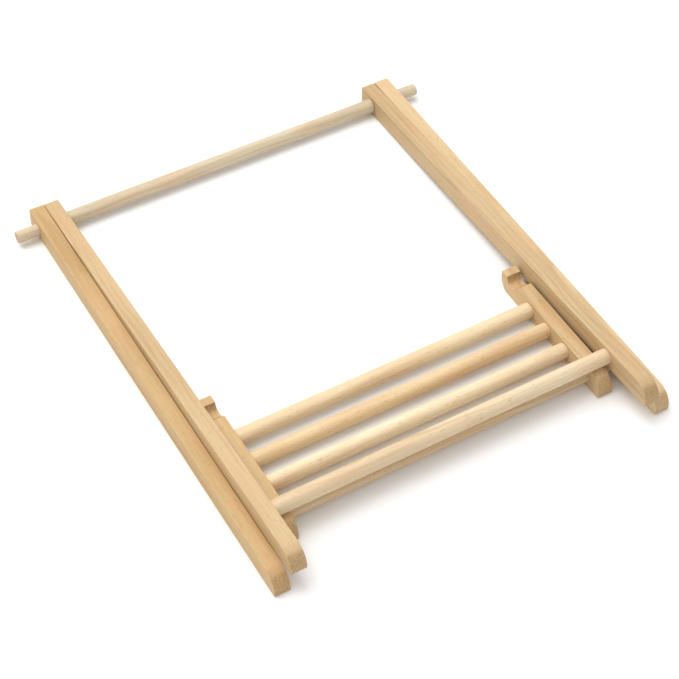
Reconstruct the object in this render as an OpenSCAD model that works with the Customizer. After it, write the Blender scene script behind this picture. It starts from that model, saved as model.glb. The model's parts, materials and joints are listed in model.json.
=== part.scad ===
// Folding A-frame of wooden laths and dowels, with a slatted shelf that locks it open.
// The model lies folded on its outer legs: X runs along the rods, +Y points to the heads,
// and the inner frame rests on the rod that the shelf turns on.

/* [Laths] */
// Width of every lath, along the rods
lath_w = 10; // [8:0.5:12]
// Height of every lath, as the folded frame lies
lath_h = 13.5; // [12.5:0.5:16]
// Radius of the eased long edges
edge_r = 0.3; // [0.2:0.1:1.5]
// Radius of the rounded toe at the lower end of legs and rails
toe_r = 11.5; // [6:0.5:12]

/* [Frames] */
// Width over the outer faces of the outer legs
frame_w = 270; // [240:5:320]
// From the top rod's axis to the square end of the legs
head_reach = 13; // [10:0.5:18]
// From the top rod's axis to the toes of the legs
toe_reach = 311; // [300:1:360]
// Gap between an outer leg and the inner leg beside it
leg_gap = 0.3; // [0.3:0.1:1]
// Gap between the folded inner legs and the rod that they rest on
rest_gap = 0.3; // [0.2:0.1:0.6]

/* [Rods] */
// Whole length of the top rod
rod_length = 300; // [295:1:360]
// Diameter of the top rod between the legs
rod_d = 9.5; // [9:0.5:12]
// Diameter of the turned-down ends of the top rod
pin_d = 8; // [6:0.5:8]
// Diameter of every other dowel
dowel_d = 10; // [8:0.5:10]
// Depth of the blind holes that the dowels are glued into
socket_depth = 7; // [5:0.5:7]
// Chamfer on the ends of rods and dowels
end_chamfer = 0.7; // [0.3:0.1:1]
// From the top rod's axis to the shelf rod's axis
shelf_rod_reach = 268.5; // [260:0.5:275]
// From the top rod's axis to the catch dowel's axis
catch_reach = 271; // [262:0.5:277]

/* [Shelf] */
// Width over the outer faces of the two rails
shelf_w = 227; // [180:0.2:228.4]
// Side play left between the left rail and the left inner leg
shelf_side_gap = 0.3; // [0.3:0.1:1.5]
// From the shelf rod's axis to the tip of the hooks
tip_reach = 90; // [88:0.5:100]
// From the shelf rod's axis to the toes of the rails
tail_reach = 15.5; // [13:0.5:20]
// Radius under the nose of the hooks
nose_r = 9.5; // [6:0.5:12.5]
// From the shelf rod's axis to the first slat
first_slat = 21.5; // [18:0.5:24]
// Distance from one slat to the next
slat_pitch = 18.8; // [16:0.2:19]
// From the shelf rod's axis to the middle of the notch
notch_reach = 78.9; // [76:0.1:80]
// Clearance around the catch dowel in the notch
notch_clearance = 0.2; // [0.1:0.1:0.5]
// Lean of the notch's lead-in, away from the tip, in degrees
notch_lean = 36; // [0:1:40]

/* [Hidden] */
$fn = 64;
running_clearance = 0.1;
shoulder_gap = 0.3;
cut_over = 1;
slat_count = 3;
beech = "#e4c79d";
beech_dowel = "#ecd3a8";

// Outer legs stand outermost, the inner legs beside them, the rails inside those
outer_leg_x = frame_w / 2 - lath_w / 2;
inner_leg_x = outer_leg_x - lath_w - leg_gap;
inner_face_x = inner_leg_x - lath_w / 2;
rail_left_x = -inner_face_x + shelf_side_gap + lath_w / 2;
rail_right_x = rail_left_x + shelf_w - lath_w;
slat_mid_x = (rail_left_x + rail_right_x) / 2;

// The inner legs' undersides rest just clear of the shelf rod, so the folded frames still
// stand apart by this angle
fold_angle = asin((lath_h / 2 + dowel_d / 2 + rest_gap) / shelf_rod_reach);

// The base of the part is the underside of the outer legs, and its middle is the origin
head_corner_y = head_reach * cos(fold_angle) + lath_h / 2 * sin(fold_angle);
pivot_y = (toe_reach - head_corner_y) / 2;
pivot_z = lath_h / 2;
shelf_rod_y = pivot_y - shelf_rod_reach;

// Cross-section of a lath, with its four long edges eased
module lath_section() {
    square([lath_w - 2 * edge_r, lath_h], center = true);
    square([lath_w, lath_h - 2 * edge_r], center = true);
    for (sx = [-1, 1], sz = [-1, 1])
        translate([sx * (lath_w / 2 - edge_r), sz * (lath_h / 2 - edge_r)])
            circle(edge_r);
}

// What a round of radius r takes off the corner at the origin of a shape that fills x > 0, y < 0
module corner_waste(r) {
    difference() {
        translate([-cut_over, -r])
            square([r + cut_over, r + cut_over]);
        translate([r, -r])
            circle(r);
    }
}

// Side view of a lath: along Y from its toe to its head, with the toe's upper corner rounded
module lath_side(toe, head) {
    difference() {
        translate([-toe, -lath_h / 2])
            square([toe + head, lath_h]);
        translate([-toe, lath_h / 2])
            corner_waste(toe_r);
    }
}

// The solid lath: its side view where that lies inside its eased cross-section
module lath(toe, head) {
    intersection() {
        rotate([90, 0, 90])
            linear_extrude(lath_w + 2 * cut_over, center = true)
                children();
        translate([0, head + cut_over, 0])
            rotate([90, 0, 0])
                linear_extrude(toe + head + 2 * cut_over)
                    lath_section();
    }
}

// A round hole along X, right through the lath
module through_hole(y, d) {
    translate([0, y, 0])
        rotate([0, 90, 0])
            cylinder(h = lath_w + 2 * cut_over, d = d, center = true);
}

// A blind hole along X, from the face that looks towards side (1 is +X, -1 is -X)
module socket(y, side) {
    translate([side * (lath_w / 2 - socket_depth), y, 0])
        rotate([0, side * 90, 0])
            cylinder(h = socket_depth + cut_over, d = dowel_d);
}

// A leg with a pivot hole in its head and a socket for its cross dowel, facing side
module leg(side, pivot_hole_d, dowel_reach) {
    difference() {
        lath(toe_reach, head_reach)
            lath_side(toe_reach, head_reach);
        through_hole(0, pivot_hole_d);
        socket(-dowel_reach, side);
    }
}

// A rod along X between two ends, with chamfered ends
module dowel(x_from, x_to, d) {
    length = x_to - x_from;
    translate([x_from, 0, 0])
        rotate([0, 90, 0])
            rotate_extrude()
                polygon([[0, 0], [d / 2 - end_chamfer, 0], [d / 2, end_chamfer],
                         [d / 2, length - end_chamfer], [d / 2 - end_chamfer, length],
                         [0, length]]);
}

// Places what belongs to the inner frame, which is turned up about the top rod's axis
module in_inner_frame() {
    translate([0, pivot_y, pivot_z])
        rotate([-fold_angle, 0, 0])
            children();
}

module outer_leg(side) {
    color(beech)
        translate([side * outer_leg_x, pivot_y, pivot_z])
            leg(-side, pin_d, shelf_rod_reach);
}

module inner_leg(side) {
    color(beech)
        in_inner_frame()
            translate([side * inner_leg_x, 0, 0])
                leg(-side, pin_d + 2 * running_clearance, catch_reach);
}

// The thick middle's shoulders keep the inner legs apart; the ends pass through both legs
module top_rod() {
    middle = 2 * (inner_face_x - shoulder_gap);
    color(beech_dowel)
        translate([0, pivot_y, pivot_z]) {
            dowel(-rod_length / 2, rod_length / 2, pin_d);
            rotate([0, 90, 0])
                cylinder(h = middle, d = rod_d, center = true);
        }
}

module shelf_rod() {
    half = outer_leg_x - lath_w / 2 + socket_depth;
    color(beech_dowel)
        translate([0, shelf_rod_y, pivot_z])
            dowel(-half, half, dowel_d);
}

module catch_dowel() {
    half = inner_face_x + socket_depth;
    color(beech_dowel)
        in_inner_frame()
            translate([0, -catch_reach, 0])
                dowel(-half, half, dowel_d);
}

// Side view of a rail: a lath's, with the nose rounded underneath
module rail_side() {
    difference() {
        lath_side(tail_reach, tip_reach);
        translate([tip_reach, -lath_h / 2])
            rotate(180)
                corner_waste(nose_r);
    }
}

// The notch is half a hole across the rail's upper edge. Its wall on the shelf rod's side
// leans back, because the catch dowel comes in on a slant as the two frames open.
module notch() {
    notch_d = dowel_d + 2 * notch_clearance;
    translate([0, notch_reach, lath_h / 2]) {
        rotate([0, 90, 0])
            cylinder(h = lath_w + 2 * cut_over, d = notch_d, center = true);
        rotate([notch_lean, 0, 0])
            translate([-lath_w / 2 - cut_over, -notch_d / 2, 0])
                cube([lath_w + 2 * cut_over, notch_d, lath_h]);
    }
}

module shelf_rail(x, side) {
    color(beech)
        translate([x, shelf_rod_y, pivot_z])
            difference() {
                lath(tail_reach, tip_reach)
                    rail_side();
                through_hole(0, dowel_d + 2 * running_clearance);
                for (i = [0 : slat_count - 1])
                    socket(first_slat + i * slat_pitch, side);
                notch();
            }
}

module shelf_slat(number) {
    half = (shelf_w - 2 * lath_w) / 2 + socket_depth;
    color(beech_dowel)
        translate([slat_mid_x, shelf_rod_y + first_slat + (number - 1) * slat_pitch, pivot_z])
            dowel(-half, half, dowel_d);
}

outer_leg(-1);  // outer_leg_left
outer_leg(1);  // outer_leg_right
top_rod();
shelf_rod();
inner_leg(-1);  // inner_leg_left
inner_leg(1);  // inner_leg_right
catch_dowel();
shelf_rail(rail_left_x, 1);  // shelf_rail_left
shelf_rail(rail_right_x, -1);  // shelf_rail_right
shelf_slat(1);  // shelf_slat_1
shelf_slat(2);  // shelf_slat_2
shelf_slat(3);  // shelf_slat_3
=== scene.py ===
# %% [markdown]
# # A folding loom frame, made piece by piece
# The real thing is twelve pieces of bare beech: four legs, two hooked rails and six round rods.
# It lies folded on its outer legs. A imported CAD model already says where every piece is, so
# this lesson only remakes each piece with eased edges, real holes and real wood, in its place.
#
# The CAD model is loaded first. It gives every node's box, the joints and the bodies that move.

# %% Load the frame
import json
import math

import bmesh
import bpy
from mathutils import Euler, Matrix, Vector


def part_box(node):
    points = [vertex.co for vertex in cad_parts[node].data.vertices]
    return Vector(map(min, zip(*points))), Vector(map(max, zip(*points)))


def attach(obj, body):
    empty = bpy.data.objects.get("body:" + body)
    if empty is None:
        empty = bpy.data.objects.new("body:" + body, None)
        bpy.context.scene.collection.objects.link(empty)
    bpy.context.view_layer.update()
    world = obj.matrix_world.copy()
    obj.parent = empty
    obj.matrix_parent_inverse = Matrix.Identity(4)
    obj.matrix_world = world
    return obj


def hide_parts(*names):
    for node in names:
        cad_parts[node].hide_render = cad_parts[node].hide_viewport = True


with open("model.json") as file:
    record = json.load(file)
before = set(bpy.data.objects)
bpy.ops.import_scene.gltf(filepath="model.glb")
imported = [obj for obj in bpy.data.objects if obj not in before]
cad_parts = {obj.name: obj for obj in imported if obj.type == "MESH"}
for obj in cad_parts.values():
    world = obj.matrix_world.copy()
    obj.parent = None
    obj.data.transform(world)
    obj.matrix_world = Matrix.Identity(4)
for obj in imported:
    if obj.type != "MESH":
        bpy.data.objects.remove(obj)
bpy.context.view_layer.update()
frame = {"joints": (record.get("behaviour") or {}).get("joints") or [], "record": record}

MM = 0.001

# %% [markdown]
# ## Reading the sizes
# A folding frame has two axes that everything is measured from: the top rod, which all four legs
# hang on, and the shelf rod, which the two rails turn on. Both are joints in the record.
#
# The outer legs lie flat, so their box gives the lath's width and height and how far it reaches
# from the top rod. The inner legs are the same lath, turned up a little where they rest on the
# shelf rod. The catch dowel sits on their middle line, so it gives that angle.

# %% Axes, lath sizes and the angle between the folded frames
joints = {joint["name"]: joint for joint in frame["joints"]}
pivot = Vector(joints["frame_fold"]["pos_m"])
shelf_axis = Vector(joints["shelf_swing"]["pos_m"])


def middle(node):
    low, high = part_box(node)
    return (low + high) / 2


leg_low, leg_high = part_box("outer_leg_left")
lath_width = leg_high.x - leg_low.x
lath_height = leg_high.z - leg_low.z
leg_toe_reach = pivot.y - leg_low.y
leg_head_reach = leg_high.y - pivot.y
catch = middle("catch_dowel") - pivot
fold_angle = math.atan2(catch.z, -catch.y)
print(f"lath {lath_width / MM:.1f} x {lath_height / MM:.1f} mm,",
      f"frames {math.degrees(fold_angle):.2f} degrees apart")

# %% [markdown]
# ## From a bmesh to a piece
# Each piece is made in a bmesh, where its own long axis lies along an axis and its hole or middle
# is at the origin. That keeps the numbers simple. The last step moves the mesh to where the piece
# is in the frame and leaves the object itself at the origin, unturned, as a CAD node is.

# %% Finish a bmesh as a mesh object
WELD = 0.001 * MM


def piece_from(bm, name, place):
    """Makes a mesh object of bm, with its place in its mesh."""
    bmesh.ops.remove_doubles(bm, verts=bm.verts, dist=WELD)
    bmesh.ops.recalc_face_normals(bm, faces=bm.faces)
    bmesh.ops.transform(bm, matrix=place, verts=bm.verts)
    mesh = bpy.data.meshes.new(name)
    bm.to_mesh(mesh)
    bm.free()
    piece = bpy.data.objects.new(name, mesh)
    bpy.context.scene.collection.objects.link(piece)
    return piece


def bake_modifiers(piece):
    """Replaces the piece's mesh with what its modifiers make of it, and takes them off."""
    graph = bpy.context.evaluated_depsgraph_get()
    plain = piece.data
    piece.data = bpy.data.meshes.new_from_object(
        piece.evaluated_get(graph), preserve_all_data_layers=True, depsgraph=graph)
    piece.data.name = piece.name
    piece.modifiers.clear()
    bpy.data.meshes.remove(plain)


# %% [markdown]
# ## The lath
# A maker planes a long square stick, eases its edges with sandpaper and rounds one end on a
# sander, so that the foot rolls on the table when the frame opens. The same order works here: a
# cube is stretched to the lath, its upper toe edge gets one large bevel and its lower one a small
# bevel, and then every edge that is still sharp is eased by a hair.
#
# The origin of the lath's mesh is the middle of its pivot hole, +Y points to its head and +Z up.
# A bevel along a round of many short faces only rounds what is sharper than those faces, so the
# edges are picked by the angle between their two faces.

# %% Lath blank with a rounded toe and eased edges
EASED_EDGE = 0.3 * MM
TOE_ROUND = 11.5 * MM
TOE_EASING = 1.0 * MM
NOSE_ROUND = 9.5 * MM
ROUND_SEGMENTS = 20
TOE_EASING_SEGMENTS = 6
EASED_SEGMENTS = 3
SHARP = math.radians(40)


def sharp_edges(bm):
    return [edge for edge in bm.edges if edge.calc_face_angle() > SHARP]


def edge_across(bm, y, z):
    """The one edge along X that passes through (y, z)."""
    spot = Vector((0, y, z))
    return min(bm.edges, key=lambda edge: sum((vert.co * Vector((0, 1, 1)) - spot).length
                                              for vert in edge.verts))


def lath_blank(toe, head, nose_round=0):
    """A lath from -toe to head along Y, with eased edges. Its toe is rounded, its nose may be."""
    bm = bmesh.new()
    bmesh.ops.create_cube(bm, size=1)
    bmesh.ops.scale(bm, vec=(lath_width, toe + head, lath_height), verts=bm.verts)
    bmesh.ops.translate(bm, vec=(0, (head - toe) / 2, 0), verts=bm.verts)
    rounds = [(-toe, lath_height / 2, TOE_ROUND, ROUND_SEGMENTS),
              (-toe, -lath_height / 2, TOE_EASING, TOE_EASING_SEGMENTS)]
    if nose_round:
        rounds.append((head, -lath_height / 2, nose_round, ROUND_SEGMENTS))
    for y, z, radius, segments in rounds:
        bmesh.ops.bevel(bm, geom=[edge_across(bm, y, z)], offset=radius, segments=segments,
                        profile=0.5, affect="EDGES", material=-1)
    bmesh.ops.bevel(bm, geom=sharp_edges(bm), offset=EASED_EDGE, segments=EASED_SEGMENTS,
                    profile=0.5, affect="EDGES", material=-1)
    return bm


trial = lath_blank(leg_toe_reach, leg_head_reach)
print("a leg before drilling:", len(trial.faces), "faces")
trial.free()

# %% [markdown]
# ## Drilling and notching
# The pivot hole goes right through the head and the sockets for the cross rods stop inside the
# wood. A Boolean modifier is the drill here, because it cuts a hole anywhere in a finished lath,
# and the cutter is a thin mesh that is thrown away afterwards.
#
# The notch in a rail is cut with the same round cutter, but one half of its circle is pushed out
# through the rail's upper edge first. That makes a slot with a half-round bottom. It leans back a
# little, because the catch dowel comes in on a slant as the frame opens.
#
# A fresh cut is sharper than an eased edge, so it only gets a hair of bevel, by angle. The
# weighted normals keep the long faces flat to the eye, although their edges are smooth.

# %% Cutters and the cut
CUT_SEGMENTS = 60
CUT_ARRIS = 0.15 * MM
CUT_ARRIS_SEGMENTS = 2
MIDDLE_BAND = 0.01  # of the radius: what lies in it on the circle isn't pushed out
SOCKET_DEPTH = 7 * MM
NOTCH_LEAN = math.radians(36)
RUNNING_FIT = 0.1 * MM


def cutter(y, z, radius, x_from, x_to, pushed_out=(0, 0, 0)):
    """A round cutter along X. pushed_out moves the half of its circle that lies that way."""
    bm = bmesh.new()
    bmesh.ops.create_circle(bm, cap_ends=True, radius=radius, segments=CUT_SEGMENTS)
    bmesh.ops.rotate(bm, matrix=Matrix.Rotation(math.pi / 2, 3, "Y"), verts=bm.verts)
    push = Vector(pushed_out)
    band = radius * push.length * MIDDLE_BAND
    outer_half = [vert for vert in bm.verts if vert.co.dot(push) > band]
    bmesh.ops.translate(bm, vec=push, verts=outer_half)
    bmesh.ops.translate(bm, vec=(x_from, y, z), verts=bm.verts)
    swept = bmesh.ops.extrude_face_region(bm, geom=bm.faces[:])["geom"]
    far_end = [part for part in swept if isinstance(part, bmesh.types.BMVert)]
    bmesh.ops.translate(bm, vec=(x_to - x_from, 0, 0), verts=far_end)
    return piece_from(bm, "cutter", Matrix.Identity(4))


def through_hole(y, radius):
    return cutter(y, 0, radius, -lath_width, lath_width)


def socket(y, radius, side):
    """A blind hole from the face that looks towards side, 1 for +X and -1 for -X."""
    face_x = side * lath_width / 2
    return cutter(y, 0, radius, face_x - side * SOCKET_DEPTH, face_x + side * lath_width)


def notch(y, radius):
    push = Vector((0, -math.sin(NOTCH_LEAN), math.cos(NOTCH_LEAN))) * lath_height
    return cutter(y, lath_height / 2, radius, -lath_width, lath_width, push)


def cut(name, blank, cutters, place):
    """Cuts every cutter out of a lath blank, breaks the new edges and puts the lath in place."""
    lath = piece_from(blank, name, Matrix.Identity(4))
    for tool in cutters:
        boolean = lath.modifiers.new("cut", "BOOLEAN")
        boolean.object = tool
        boolean.solver = "EXACT"
    arris = lath.modifiers.new("broken arris", "BEVEL")
    arris.width = CUT_ARRIS
    arris.segments = CUT_ARRIS_SEGMENTS
    arris.limit_method = "ANGLE"
    arris.angle_limit = SHARP
    bake_modifiers(lath)
    lath.data.transform(place)
    for tool in cutters:
        bpy.data.objects.remove(tool)
    return lath


def smooth(piece):
    """Smooth shading that still reads as flat on the flats."""
    piece.data.shade_smooth()
    normals = piece.modifiers.new("weighted normals", "WEIGHTED_NORMAL")
    normals.keep_sharp = True
    bake_modifiers(piece)


# %% [markdown]
# ## Rods and dowels
# Dowels are turned or pushed through a round cutter, then cut to length and touched on a sander at
# their ends. A spin of a half outline about the axis gives exactly that. The top rod is thicker
# between the legs than at its ends, so its outline steps down at two shoulders, and the legs run
# up against them. A full spin joins its last ring to its first with use_merge.

# %% Spin a rod from its half outline
END_EASING = 0.7 * MM
ROD_SEGMENTS = 64


def turned_rod(outline):
    """Spins (x, radius) points about the X axis. Its rims are eased afterwards."""
    bm = bmesh.new()
    points = [(outline[0][0], 0)] + outline + [(outline[-1][0], 0)]
    verts = [bm.verts.new((x, 0, radius)) for x, radius in points]
    edges = [bm.edges.new(pair) for pair in zip(verts, verts[1:])]
    bmesh.ops.spin(bm, geom=verts + edges, axis=(1, 0, 0), cent=(0, 0, 0),
                   angle=math.tau, steps=ROD_SEGMENTS, use_merge=True)
    bmesh.ops.remove_doubles(bm, verts=bm.verts, dist=WELD)
    bmesh.ops.bevel(bm, geom=sharp_edges(bm), offset=END_EASING, segments=EASED_SEGMENTS,
                    profile=0.5, affect="EDGES", material=-1)
    return bm


def rod_radius(node):
    """Half of a rod's thickness, where the thickness is taken to a tenth of a millimetre."""
    low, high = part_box(node)
    return round((high.y - low.y) / MM, 1) * MM / 2


def plain_dowel(node):
    """A straight dowel that stands for a CAD node along X."""
    low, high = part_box(node)
    radius = rod_radius(node)
    bm = turned_rod([(low.x, radius), (high.x, radius)])
    centre = middle(node)
    return piece_from(bm, "beech_" + node, Matrix.Translation((0, centre.y, centre.z)))


# %% [markdown]
# ## The legs
# All four legs are the same lath. The outer pair is fixed to the ends of the top rod, the inner
# pair turns on them with a little play. Each leg has a socket for its cross rod on its inner face:
# the shelf rod joins the outer legs, the catch dowel joins the inner ones.

# %% Four legs
PIN_RADIUS = 4 * MM
pieces = {}


def leg(node, hole_radius, cross_rod, tilt):
    x = middle(node).x
    inwards = -1 if x > 0 else 1
    reach = (middle(cross_rod) - pivot).length
    tools = [through_hole(0, hole_radius), socket(-reach, rod_radius(cross_rod), inwards)]
    place = Matrix.Translation((x, pivot.y, pivot.z)) @ Matrix.Rotation(-tilt, 4, "X")
    blank = lath_blank(leg_toe_reach, leg_head_reach)
    return cut("beech_" + node, blank, tools, place)


for side in ("left", "right"):
    node = "outer_leg_" + side
    pieces[node] = leg(node, PIN_RADIUS, "shelf_rod", 0)
    node = "inner_leg_" + side
    pieces[node] = leg(node, PIN_RADIUS + RUNNING_FIT, "catch_dowel", fold_angle)
print("legs:", {node: len(piece.data.polygons) for node, piece in pieces.items()})

# %% [markdown]
# ## The shelf
# The shelf is two short laths with three dowels between them. Each rail turns on the shelf rod
# near its toe and ends in a hook: a notch in its upper edge, and a nose rounded underneath so that
# it slides under the catch dowel. The record's opening for the notch says where its middle is.

# %% Two hooked rails
SLATS = ["shelf_slat_1", "shelf_slat_2", "shelf_slat_3"]
openings = {opening["name"]: opening for opening in frame["record"]["physics"]["openings"]}


def rail(side, inwards):
    node = "shelf_rail_" + side
    low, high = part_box(node)
    notch_low, notch_high = openings["hook_notch_" + side]["box_m"]
    notch_y = (notch_low[1] + notch_high[1]) / 2 - shelf_axis.y
    tools = [socket(middle(slat).y - shelf_axis.y, rod_radius(slat), inwards) for slat in SLATS]
    tools.append(through_hole(0, rod_radius("shelf_rod") + RUNNING_FIT))
    tools.append(notch(notch_y, rod_radius("catch_dowel") + 2 * RUNNING_FIT))
    place = Matrix.Translation((middle(node).x, shelf_axis.y, shelf_axis.z))
    blank = lath_blank(shelf_axis.y - low.y, high.y - shelf_axis.y, NOSE_ROUND)
    return cut("beech_" + node, blank, tools, place)


pieces["shelf_rail_left"] = rail("left", 1)
pieces["shelf_rail_right"] = rail("right", -1)
print("rails:", len(pieces["shelf_rail_left"].data.polygons), "faces each")

# %% [markdown]
# ## The rods
# Five dowels are plain. The top rod steps down from its thick middle to the two ends that run
# through the legs and stand out past them.

# %% Top rod, shelf rod, catch dowel and slats
SHOULDER_GAP = 0.3 * MM

low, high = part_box("top_rod")
shoulder_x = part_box("inner_leg_right")[0].x - SHOULDER_GAP
thick = rod_radius("top_rod")
outline = [(low.x, PIN_RADIUS), (-shoulder_x, PIN_RADIUS), (-shoulder_x, thick),
           (shoulder_x, thick), (shoulder_x, PIN_RADIUS), (high.x, PIN_RADIUS)]
pieces["top_rod"] = piece_from(turned_rod(outline), "beech_top_rod",
                               Matrix.Translation((0, pivot.y, pivot.z)))
for node in ["shelf_rod", "catch_dowel"] + SLATS:
    pieces[node] = plain_dowel(node)
for piece in pieces.values():
    smooth(piece)
print("pieces:", len(pieces), "thick", thick / MM, "pin", PIN_RADIUS / MM)

# %% [markdown]
# ## Bare beech
# Beech is a pale, even wood. Its growth rings give soft tan lines a few millimetres apart, which
# run straight along a face cut across the rings and bend into long arches on a face cut along
# them. Between them are fine fibres, faint reddish patches, and short brown flecks that are the
# rays of the wood cut through. Cut ends drink more light and show the flecks as dots. Their
# darkening is pushed further than end grain alone, as painted shade on the toes, which face away
# from the softbox.
#
# All of that comes from one solid pattern, as in a real stick: rings about a heart that lies
# outside the piece, wandering a little along the grain. The pattern is centred and turned by a
# Mapping node, so that the grain always runs along its own Y. Every colour is written as the
# eye reads it, in sRGB hex, and turned to linear by one function.

# %% Colour and node helpers
def linear(hex_colour):
    """sRGB hex to the linear RGBA that a shader works in."""
    parts = [int(hex_colour[i:i + 2], 16) / 255 for i in (1, 3, 5)]
    return [p / 12.92 if p <= 0.04045 else ((p + 0.055) / 1.055) ** 2.4 for p in parts] + [1]


def add_node(tree, kind, inputs, output=0, **settings):
    """Adds a node and returns one output of it. An input is a value or another node's output."""
    node = tree.nodes.new(kind)
    for key, value in settings.items():
        setattr(node, key, value)
    for key, value in inputs.items():
        if isinstance(value, bpy.types.NodeSocket):
            tree.links.new(value, node.inputs[key])
        else:
            node.inputs[key].default_value = value
    return node.outputs[output] if len(node.outputs) else node


# %% [markdown]
# The end grain can't be told from a position, so each piece carries an attribute for it: how far a
# point of the surface faces along the grain, from 0 on the long faces to 1 on a cut end. On the
# rounded toes it rises smoothly. The same attribute also places the painted shade on the toes.

# %% Mark the end grain
def mark_end_grain(piece, grain):
    attribute = piece.data.attributes.new("end_grain", "FLOAT", "POINT")
    facing = [abs(vert.normal.dot(grain)) for vert in piece.data.vertices]
    attribute.data.foreach_set("value", facing)


# %% Bare beech, planed or turned
RING = 3.2 * MM
RING_WANDER = 9 * MM
RING_LINE_FROM = -0.3  # of the sine across a ring, where its darker line starts
HEART_AWAY = 55 * MM
NEXT_STICK = 0.61  # metres along the grain, from one piece's part of the pattern to the next's

# Each pattern's size across the grain, its stretch along it, its detail, and the part of the
# noise's values that it is spread over. Fibres, flecks and dots are drawn about twice as coarse
# as real ones, so that they show.
PATTERNS = {
    "wander": (26 * MM, 6, 2, 0.1, 0.9),
    "strength": (9 * MM, 20, 2, 0.35, 0.65),
    "drift": (18 * MM, 7, 2, 0.3, 0.7),
    "blush": (11 * MM, 4, 3, 0.45, 0.68),
    "fibres": (0.9 * MM, 25, 3, 0.3, 0.7),
    "flecks": (0.8 * MM, 4.5, 2, 0.61, 0.71),
    "speckle": (0.9 * MM, 1, 2, 0.38, 0.62),
}
# how much of the way from the pale tone to the deep one each part of the figure goes
DRIFT_SHARE = 0.40
RING_SHARE = 0.38
FIBRE_SHARE = 0.22
# thin veils of colour over that, with the most that each may cover
VEILS = {"blush": (0.20, "#d49c72"), "flecks": (0.34, "#a8713f")}
# how far a surface faces along the grain where the darker ends start and are full, and how much of
# the colour they then take over. This is end grain together with painted shade for the toes, which
# face away from the light. The narrow ramp paints a shade line where a toe starts to turn away
END_GRAIN_AND_SHADE_FROM = 0.42
END_GRAIN_AND_SHADE_FULL = 0.64
END_GRAIN_AND_SHADE_SHARE = 0.58
END_GRAIN_AND_SHADE_DOTS = ("#93714a", "#b99465")
# the feel of the surface: rings stand out half as much as fibres, and both only a little
RING_RELIEF = 0.5
RELIEF_DEPTH = 0.05 * MM
RELIEF_STRENGTH = 0.35
ROUGHNESS = (0.50, 0.62)


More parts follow.
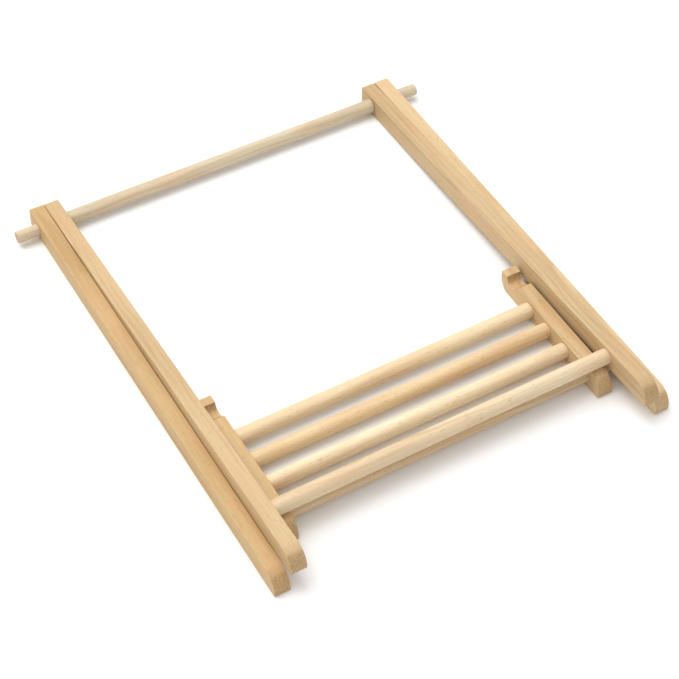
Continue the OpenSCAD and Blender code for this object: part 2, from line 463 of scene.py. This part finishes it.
def bare_beech(name, pale, deep, turn, centre, heart_angle, number):
    """Planed or turned beech without finish: matt and fibrous, glossier between the fibres."""
    material = bpy.data.materials.new(name)
    material.use_nodes = True
    tree = material.node_tree
    tree.nodes.clear()
    place = add_node(tree, "ShaderNodeTexCoord", {}, "Object")
    shift = -(turn.to_matrix() @ centre) + Vector((0, NEXT_STICK * number, 0))
    grain = add_node(tree, "ShaderNodeMapping",
                     {"Vector": place, "Rotation": turn, "Location": shift})
    pattern = {}
    for key, (size, stretch, detail, low, high) in PATTERNS.items():
        drawn = add_node(tree, "ShaderNodeVectorMath", {0: grain, 1: (1, 1 / stretch, 1)},
                         operation="MULTIPLY")
        noise = add_node(tree, "ShaderNodeTexNoise",
                         {"Vector": drawn, "Scale": 1 / size, "Detail": detail})
        pattern[key] = add_node(tree, "ShaderNodeMapRange",
                                {"Value": noise, "From Min": low, "From Max": high},
                                interpolation_type="SMOOTHSTEP")

    # growth rings about the heart of the tree, which wander a few millimetres along the stick
    heart = Vector((math.cos(heart_angle), 0, math.sin(heart_angle))) * HEART_AWAY
    away = add_node(tree, "ShaderNodeVectorMath", {0: grain, 1: heart}, operation="SUBTRACT")
    across = add_node(tree, "ShaderNodeVectorMath", {0: away, 1: (1, 0, 1)}, operation="MULTIPLY")
    radius = add_node(tree, "ShaderNodeVectorMath", {0: across}, "Value", operation="LENGTH")
    wandered = add_node(tree, "ShaderNodeMath",
                        {0: pattern["wander"], 1: RING_WANDER, 2: radius},
                        operation="MULTIPLY_ADD")
    turns = add_node(tree, "ShaderNodeMath", {0: wandered, 1: math.tau / RING},
                     operation="MULTIPLY")
    wave = add_node(tree, "ShaderNodeMath", {0: turns}, operation="SINE")
    lines = add_node(tree, "ShaderNodeMapRange",
                     {"Value": wave, "From Min": RING_LINE_FROM},
                     interpolation_type="SMOOTHSTEP")
    rings = add_node(tree, "ShaderNodeMath", {0: lines, 1: pattern["strength"]},
                     operation="MULTIPLY")

    # how deep the colour is: broad drift, then rings, then fibres
    tone = 0.0
    for part, share in ((pattern["drift"], DRIFT_SHARE), (rings, RING_SHARE),
                        (pattern["fibres"], FIBRE_SHARE)):
        tone = add_node(tree, "ShaderNodeMath", {0: part, 1: share, 2: tone},
                        operation="MULTIPLY_ADD")
    wood = add_node(tree, "ShaderNodeMix", {0: tone, 6: pale, 7: deep}, 2, data_type="RGBA")
    for key, (share, colour) in VEILS.items():
        veil = add_node(tree, "ShaderNodeMath", {0: pattern[key], 1: share}, operation="MULTIPLY")
        wood = add_node(tree, "ShaderNodeMix", {0: veil, 6: wood, 7: linear(colour)}, 2,
                        data_type="RGBA")

    # the end grain, where the surface faces along the stick, darkened further as painted shade on
    # the toes
    facing = add_node(tree, "ShaderNodeAttribute", {}, "Fac", attribute_name="end_grain")
    end_grain_and_shade = add_node(tree, "ShaderNodeMapRange",
                       {"Value": facing, "From Min": END_GRAIN_AND_SHADE_FROM,
                        "From Max": END_GRAIN_AND_SHADE_FULL, "To Max": END_GRAIN_AND_SHADE_SHARE},
                       interpolation_type="SMOOTHSTEP")
    dark_dot, pale_dot = (linear(colour) for colour in END_GRAIN_AND_SHADE_DOTS)
    dots = add_node(tree, "ShaderNodeMix",
                    {0: pattern["speckle"], 6: dark_dot, 7: pale_dot}, 2, data_type="RGBA")
    wood = add_node(tree, "ShaderNodeMix", {0: end_grain_and_shade, 6: wood, 7: dots}, 2, data_type="RGBA")

    relief = add_node(tree, "ShaderNodeMath",
                      {0: rings, 1: RING_RELIEF, 2: pattern["fibres"]},
                      operation="MULTIPLY_ADD")
    bump = add_node(tree, "ShaderNodeBump",
                    {"Strength": RELIEF_STRENGTH, "Distance": RELIEF_DEPTH, "Height": relief})
    matt = add_node(tree, "ShaderNodeMapRange",
                    {"Value": pattern["fibres"], "To Min": ROUGHNESS[0], "To Max": ROUGHNESS[1]})
    surface = add_node(tree, "ShaderNodeBsdfPrincipled",
                       {"Base Color": wood, "Roughness": matt, "IOR": 1.5, "Normal": bump})
    add_node(tree, "ShaderNodeOutputMaterial", {"Surface": surface})
    return material


# %% [markdown]
# No two sticks of a bundle have one colour, but all are one wood. So there is one pale and one
# deep tone of beech, and each piece is a lighter or darker, warmer or cooler stick of it, with
# its own heart direction. A heart straight below gives a top face with long arches, a heart at
# the side gives it straight lines. The rods are mostly paler and cooler than the laths, and their
# grain runs along X, so their pattern is turned by a quarter. The inner legs' pattern is turned
# back by the folded angle.

# %% Tones of the twelve pieces
PALE_BEECH = "#e2c99e"
DEEP_BEECH = "#c3a070"
# lightness, warmth, and direction of the heart in degrees from +X towards +Z
STICKS = {
    "outer_leg_left": (0.75, 0.3, -80),
    "inner_leg_left": (0.8, 0.1, -35),
    "outer_leg_right": (0.95, 0.0, -60),
    "inner_leg_right": (0.75, 0.1, -30),
    "shelf_rail_left": (0.8, 0.25, -20),
    "shelf_rail_right": (0.85, 0.1, -50),
    "top_rod": (0.85, -0.4, -70),
    "shelf_rod": (0.85, -0.1, -40),
    "catch_dowel": (1.0, -0.25, -60),
    "shelf_slat_1": (1.15, -0.3, -80),
    "shelf_slat_2": (1.0, 0.0, -30),
    "shelf_slat_3": (1.1, -0.2, -55),
}
RODS = ["top_rod", "shelf_rod", "catch_dowel"] + SLATS


def toned(hex_colour, lightness, warmth):
    """A lighter or darker shade of a wood. Warmth takes out blue, and a third as much green."""
    shares = (1, 1 - warmth / 3, 1 - warmth)
    return [part * lightness * share for part, share in zip(linear(hex_colour), shares)] + [1]


for number, (node, (lightness, warmth, degrees)) in enumerate(STICKS.items()):
    pale = toned(PALE_BEECH, lightness, warmth)
    deep = toned(DEEP_BEECH, lightness, warmth)
    is_rod = node in RODS
    tilt = fold_angle if node.startswith("inner_leg") else 0
    turn = Euler((0, 0, math.pi / 2)) if is_rod else Euler((tilt, 0, 0))
    mark_end_grain(pieces[node], Vector((1, 0, 0) if is_rod else (0, 1, 0)))
    finish = "turned_beech_" if is_rod else "planed_beech_"
    wood = bare_beech(finish + node, pale, deep, turn, middle(node), math.radians(degrees),
                      number)
    pieces[node].data.materials.append(wood)
print("materials:", len(STICKS))

# %% [markdown]
# ## Into the frame
# Every piece rides on the body of the CAD node that it stands for, and hides that node. The record
# says which body that is.

# %% Bodies
record = frame["record"]
body_of = {node: body for body, nodes in record["behaviour"]["bodies"].items() for node in nodes}
for node, piece in pieces.items():
    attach(piece, body_of[node])
    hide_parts(node)
print("rides:", {node: body_of[node] for node in pieces})

# %% [markdown]
# ## Table, light and camera
# The frame lies on a white sweep. A wide softbox hangs over it, a little behind it and to the
# left, so that the tops are brightest, the sides and toes are a shade darker and shadows stay
# close under the laths. A pale room fills the rest. The light is strong enough to burn the sweep
# out to white, as on a product table.

# %% Sweep
SWEEP_REACH = 6  # metres to each side

bm = bmesh.new()
bmesh.ops.create_grid(bm, x_segments=1, y_segments=1, size=SWEEP_REACH)
sweep = piece_from(bm, "sweep", Matrix.Identity(4))
white = bpy.data.materials.new("matt_white_sweep")
white.use_nodes = True
paint = white.node_tree.nodes["Principled BSDF"]
paint.inputs["Base Color"].default_value = linear("#f6f6f6")
paint.inputs["Roughness"].default_value = 0.9
sweep.data.materials.append(white)

# %% Softbox and room
look_at = Vector((-13, -24.4, 6.75)) * MM
softbox_side = Vector((-0.22, 0.45, 1)).normalized()
softbox_distance = 2.0

light = bpy.data.lights.new("softbox", "AREA")
light.size = 1.8
light.energy = 34
lamp = bpy.data.objects.new("softbox", light)
lamp.location = look_at + softbox_side * softbox_distance
lamp.rotation_euler = softbox_side.to_track_quat("Z", "Y").to_euler()
bpy.context.scene.collection.objects.link(lamp)

room = bpy.data.worlds.new("pale room")
room.use_nodes = True
room.node_tree.nodes["Background"].inputs["Color"].default_value = linear("#ffffff")
room.node_tree.nodes["Background"].inputs["Strength"].default_value = 0.78
bpy.context.scene.world = room
bpy.context.scene.view_settings.view_transform = "Standard"

# %% Camera
azimuth = math.radians(-32.72)
elevation = math.radians(49.3)
roll = math.radians(2.89)
distance = 1.0568

back = Vector((math.sin(azimuth) * math.cos(elevation),
               -math.cos(azimuth) * math.cos(elevation), math.sin(elevation)))
camera = bpy.data.objects.new("camera", bpy.data.cameras.new("camera"))
camera.data.sensor_width = 36
camera.data.lens = 91.75
turned = back.to_track_quat("Z", "Y").to_matrix() @ Matrix.Rotation(roll, 3, "Z")
camera.matrix_world = Matrix.Translation(look_at + back * distance) @ turned.to_4x4()
bpy.context.scene.collection.objects.link(camera)
bpy.context.scene.camera = camera
print("camera at", [round(value, 3) for value in camera.location])
